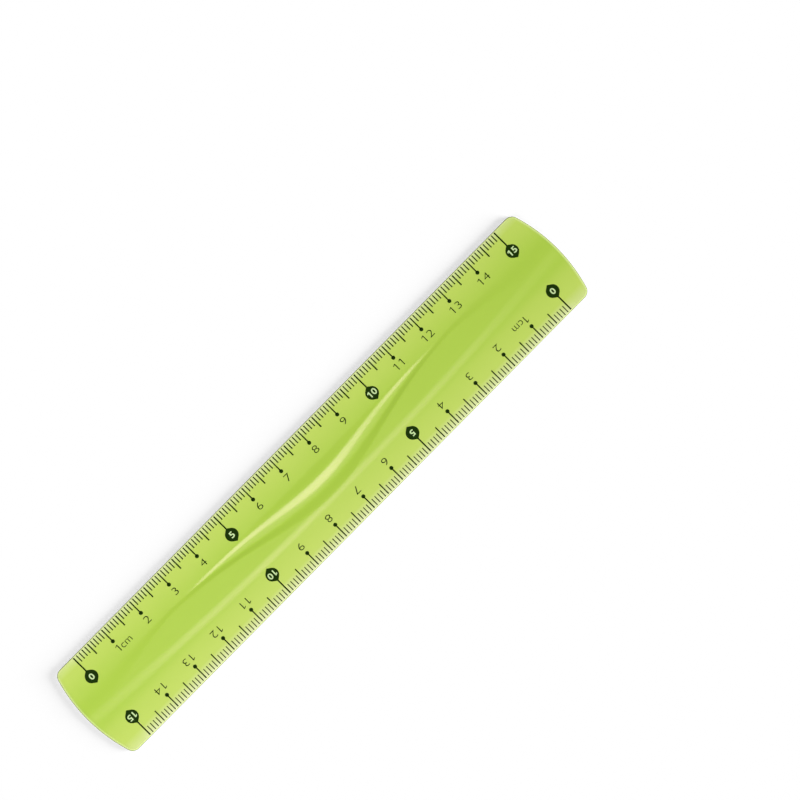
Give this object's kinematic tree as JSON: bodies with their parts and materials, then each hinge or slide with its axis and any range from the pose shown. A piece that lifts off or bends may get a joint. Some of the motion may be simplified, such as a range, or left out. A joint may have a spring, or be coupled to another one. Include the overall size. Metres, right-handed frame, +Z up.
{
  "type": "flexible ruler",
  "caption": "Thin soft-plastic ruler with rounded bowed ends, a shallow crescent relief and a printed centimetre scale along both long edges, which bends into a ring",
  "frame": {"origin": "on the resting plane, under the middle of the blade", "axes": "+X along the blade, from the near scale's 0 to its 15; +Y across it, towards the near scale's edge; +Z up, out of the printed face"},
  "size_m": [0.1668, 0.0278, 0.0014],
  "materials": {
    "soft_blade": "semi-gloss soft PVC",
    "screen_ink": "satin ink"
  },
  "bodies": {
    "link_000mm": {"blade_link_000mm": "soft_blade", "marker_near_00cm": "screen_ink", "marker_far_15cm": "screen_ink"},
    "link_005mm": {"blade_link_005mm": "soft_blade"},
    "link_010mm": {"blade_link_010mm": "soft_blade"},
    "link_015mm": {"blade_link_015mm": "soft_blade"},
    "link_020mm": {"blade_link_020mm": "soft_blade"},
    "link_025mm": {"blade_link_025mm": "soft_blade"},
    "link_030mm": {"blade_link_030mm": "soft_blade"},
    "link_035mm": {"blade_link_035mm": "soft_blade"},
    "link_040mm": {"blade_link_040mm": "soft_blade"},
    "link_045mm": {"blade_link_045mm": "soft_blade"},
    "link_050mm": {"blade_link_050mm": "soft_blade", "marker_near_05cm": "screen_ink", "marker_far_10cm": "screen_ink"},
    "link_055mm": {"blade_link_055mm": "soft_blade"},
    "link_060mm": {"blade_link_060mm": "soft_blade"},
    "link_065mm": {"blade_link_065mm": "soft_blade"},
    "link_070mm": {"blade_link_070mm": "soft_blade"},
    "link_075mm": {"blade_link_075mm": "soft_blade"},
    "link_080mm": {"blade_link_080mm": "soft_blade"},
    "link_085mm": {"blade_link_085mm": "soft_blade"},
    "link_090mm": {"blade_link_090mm": "soft_blade"},
    "link_095mm": {"blade_link_095mm": "soft_blade"},
    "link_100mm": {"blade_link_100mm": "soft_blade", "marker_near_10cm": "screen_ink", "marker_far_05cm": "screen_ink"},
    "link_105mm": {"blade_link_105mm": "soft_blade"},
    "link_110mm": {"blade_link_110mm": "soft_blade"},
    "link_115mm": {"blade_link_115mm": "soft_blade"},
    "link_120mm": {"blade_link_120mm": "soft_blade"},
    "link_125mm": {"blade_link_125mm": "soft_blade"},
    "link_130mm": {"blade_link_130mm": "soft_blade"},
    "link_135mm": {"blade_link_135mm": "soft_blade"},
    "link_140mm": {"blade_link_140mm": "soft_blade"},
    "link_145mm": {"blade_link_145mm": "soft_blade"},
    "link_150mm": {"blade_link_150mm": "soft_blade", "marker_near_15cm": "screen_ink", "marker_far_00cm": "screen_ink"}
  },
  "joints": [
    {"name": "bend_right_01", "type": "hinge", "parent": "link_075mm", "child": "link_080mm", "pos_m": [0.0025, 0, 0.0006], "axis": [0, -1, 0], "range_deg": [-10, 10], "stiffness_Nm_per_rad": 0.015},
    {"name": "bend_right_02", "type": "hinge", "parent": "link_080mm", "child": "link_085mm", "pos_m": [0.0075, 0, 0.0006], "axis": [0, -1, 0], "range_deg": [-10, 10], "stiffness_Nm_per_rad": 0.015},
    {"name": "bend_right_03", "type": "hinge", "parent": "link_085mm", "child": "link_090mm", "pos_m": [0.0125, 0, 0.0006], "axis": [0, -1, 0], "range_deg": [-10, 10], "stiffness_Nm_per_rad": 0.015},
    {"name": "bend_right_04", "type": "hinge", "parent": "link_090mm", "child": "link_095mm", "pos_m": [0.0175, 0, 0.0006], "axis": [0, -1, 0], "range_deg": [-10, 10], "stiffness_Nm_per_rad": 0.015},
    {"name": "bend_right_05", "type": "hinge", "parent": "link_095mm", "child": "link_100mm", "pos_m": [0.0225, 0, 0.0006], "axis": [0, -1, 0], "range_deg": [-10, 10], "stiffness_Nm_per_rad": 0.015},
    {"name": "bend_right_06", "type": "hinge", "parent": "link_100mm", "child": "link_105mm", "pos_m": [0.0275, 0, 0.0006], "axis": [0, -1, 0], "range_deg": [-10, 10], "stiffness_Nm_per_rad": 0.015},
    {"name": "bend_right_07", "type": "hinge", "parent": "link_105mm", "child": "link_110mm", "pos_m": [0.0325, 0, 0.0006], "axis": [0, -1, 0], "range_deg": [-10, 10], "stiffness_Nm_per_rad": 0.015},
    {"name": "bend_right_08", "type": "hinge", "parent": "link_110mm", "child": "link_115mm", "pos_m": [0.0375, 0, 0.0006], "axis": [0, -1, 0], "range_deg": [-10, 10], "stiffness_Nm_per_rad": 0.015},
    {"name": "bend_right_09", "type": "hinge", "parent": "link_115mm", "child": "link_120mm", "pos_m": [0.0425, 0, 0.0006], "axis": [0, -1, 0], "range_deg": [-10, 10], "stiffness_Nm_per_rad": 0.015},
    {"name": "bend_right_10", "type": "hinge", "parent": "link_120mm", "child": "link_125mm", "pos_m": [0.0475, 0, 0.0006], "axis": [0, -1, 0], "range_deg": [-10, 10], "stiffness_Nm_per_rad": 0.015},
    {"name": "bend_right_11", "type": "hinge", "parent": "link_125mm", "child": "link_130mm", "pos_m": [0.0525, 0, 0.0006], "axis": [0, -1, 0], "range_deg": [-10, 10], "stiffness_Nm_per_rad": 0.015},
    {"name": "bend_right_12", "type": "hinge", "parent": "link_130mm", "child": "link_135mm", "pos_m": [0.0575, 0, 0.0006], "axis": [0, -1, 0], "range_deg": [-10, 10], "stiffness_Nm_per_rad": 0.015},
    {"name": "bend_right_13", "type": "hinge", "parent": "link_135mm", "child": "link_140mm", "pos_m": [0.0625, 0, 0.0006], "axis": [0, -1, 0], "range_deg": [-10, 10], "stiffness_Nm_per_rad": 0.015},
    {"name": "bend_right_14", "type": "hinge", "parent": "link_140mm", "child": "link_145mm", "pos_m": [0.0675, 0, 0.0006], "axis": [0, -1, 0], "range_deg": [-10, 10], "stiffness_Nm_per_rad": 0.015},
    {"name": "bend_right_15", "type": "hinge", "parent": "link_145mm", "child": "link_150mm", "pos_m": [0.0725, 0, 0.0006], "axis": [0, -1, 0], "range_deg": [-10, 10], "stiffness_Nm_per_rad": 0.015},
    {"name": "bend_left_01", "type": "hinge", "parent": "link_075mm", "child": "link_070mm", "pos_m": [-0.0025, 0, 0.0006], "axis": [0, 1, 0], "range_deg": [-10, 10], "stiffness_Nm_per_rad": 0.015},
    {"name": "bend_left_02", "type": "hinge", "parent": "link_070mm", "child": "link_065mm", "pos_m": [-0.0075, 0, 0.0006], "axis": [0, 1, 0], "range_deg": [-10, 10], "stiffness_Nm_per_rad": 0.015},
    {"name": "bend_left_03", "type": "hinge", "parent": "link_065mm", "child": "link_060mm", "pos_m": [-0.0125, 0, 0.0006], "axis": [0, 1, 0], "range_deg": [-10, 10], "stiffness_Nm_per_rad": 0.015},
    {"name": "bend_left_04", "type": "hinge", "parent": "link_060mm", "child": "link_055mm", "pos_m": [-0.0175, 0, 0.0006], "axis": [0, 1, 0], "range_deg": [-10, 10], "stiffness_Nm_per_rad": 0.015},
    {"name": "bend_left_05", "type": "hinge", "parent": "link_055mm", "child": "link_050mm", "pos_m": [-0.0225, 0, 0.0006], "axis": [0, 1, 0], "range_deg": [-10, 10], "stiffness_Nm_per_rad": 0.015},
    {"name": "bend_left_06", "type": "hinge", "parent": "link_050mm", "child": "link_045mm", "pos_m": [-0.0275, 0, 0.0006], "axis": [0, 1, 0], "range_deg": [-10, 10], "stiffness_Nm_per_rad": 0.015},
    {"name": "bend_left_07", "type": "hinge", "parent": "link_045mm", "child": "link_040mm", "pos_m": [-0.0325, 0, 0.0006], "axis": [0, 1, 0], "range_deg": [-10, 10], "stiffness_Nm_per_rad": 0.015},
    {"name": "bend_left_08", "type": "hinge", "parent": "link_040mm", "child": "link_035mm", "pos_m": [-0.0375, 0, 0.0006], "axis": [0, 1, 0], "range_deg": [-10, 10], "stiffness_Nm_per_rad": 0.015},
    {"name": "bend_left_09", "type": "hinge", "parent": "link_035mm", "child": "link_030mm", "pos_m": [-0.0425, 0, 0.0006], "axis": [0, 1, 0], "range_deg": [-10, 10], "stiffness_Nm_per_rad": 0.015},
    {"name": "bend_left_10", "type": "hinge", "parent": "link_030mm", "child": "link_025mm", "pos_m": [-0.0475, 0, 0.0006], "axis": [0, 1, 0], "range_deg": [-10, 10], "stiffness_Nm_per_rad": 0.015},
    {"name": "bend_left_11", "type": "hinge", "parent": "link_025mm", "child": "link_020mm", "pos_m": [-0.0525, 0, 0.0006], "axis": [0, 1, 0], "range_deg": [-10, 10], "stiffness_Nm_per_rad": 0.015},
    {"name": "bend_left_12", "type": "hinge", "parent": "link_020mm", "child": "link_015mm", "pos_m": [-0.0575, 0, 0.0006], "axis": [0, 1, 0], "range_deg": [-10, 10], "stiffness_Nm_per_rad": 0.015},
    {"name": "bend_left_13", "type": "hinge", "parent": "link_015mm", "child": "link_010mm", "pos_m": [-0.0625, 0, 0.0006], "axis": [0, 1, 0], "range_deg": [-10, 10], "stiffness_Nm_per_rad": 0.015},
    {"name": "bend_left_14", "type": "hinge", "parent": "link_010mm", "child": "link_005mm", "pos_m": [-0.0675, 0, 0.0006], "axis": [0, 1, 0], "range_deg": [-10, 10], "stiffness_Nm_per_rad": 0.015},
    {"name": "bend_left_15", "type": "hinge", "parent": "link_005mm", "child": "link_000mm", "pos_m": [-0.0725, 0, 0.0006], "axis": [0, 1, 0], "range_deg": [-10, 10], "stiffness_Nm_per_rad": 0.015}
  ],
  "couplings": [
    {"joint": "bend_right_02", "follows": "bend_right_01", "ratio": 1},
    {"joint": "bend_right_03", "follows": "bend_right_01", "ratio": 1},
    {"joint": "bend_right_04", "follows": "bend_right_01", "ratio": 1},
    {"joint": "bend_right_05", "follows": "bend_right_01", "ratio": 1},
    {"joint": "bend_right_06", "follows": "bend_right_01", "ratio": 1},
    {"joint": "bend_right_07", "follows": "bend_right_01", "ratio": 1},
    {"joint": "bend_right_08", "follows": "bend_right_01", "ratio": 1},
    {"joint": "bend_right_09", "follows": "bend_right_01", "ratio": 1},
    {"joint": "bend_right_10", "follows": "bend_right_01", "ratio": 1},
    {"joint": "bend_right_11", "follows": "bend_right_01", "ratio": 1},
    {"joint": "bend_right_12", "follows": "bend_right_01", "ratio": 1},
    {"joint": "bend_right_13", "follows": "bend_right_01", "ratio": 1},
    {"joint": "bend_right_14", "follows": "bend_right_01", "ratio": 1},
    {"joint": "bend_right_15", "follows": "bend_right_01", "ratio": 1},
    {"joint": "bend_left_02", "follows": "bend_left_01", "ratio": 1},
    {"joint": "bend_left_03", "follows": "bend_left_01", "ratio": 1},
    {"joint": "bend_left_04", "follows": "bend_left_01", "ratio": 1},
    {"joint": "bend_left_05", "follows": "bend_left_01", "ratio": 1},
    {"joint": "bend_left_06", "follows": "bend_left_01", "ratio": 1},
    {"joint": "bend_left_07", "follows": "bend_left_01", "ratio": 1},
    {"joint": "bend_left_08", "follows": "bend_left_01", "ratio": 1},
    {"joint": "bend_left_09", "follows": "bend_left_01", "ratio": 1},
    {"joint": "bend_left_10", "follows": "bend_left_01", "ratio": 1},
    {"joint": "bend_left_11", "follows": "bend_left_01", "ratio": 1},
    {"joint": "bend_left_12", "follows": "bend_left_01", "ratio": 1},
    {"joint": "bend_left_13", "follows": "bend_left_01", "ratio": 1},
    {"joint": "bend_left_14", "follows": "bend_left_01", "ratio": 1},
    {"joint": "bend_left_15", "follows": "bend_left_01", "ratio": 1}
  ]
}
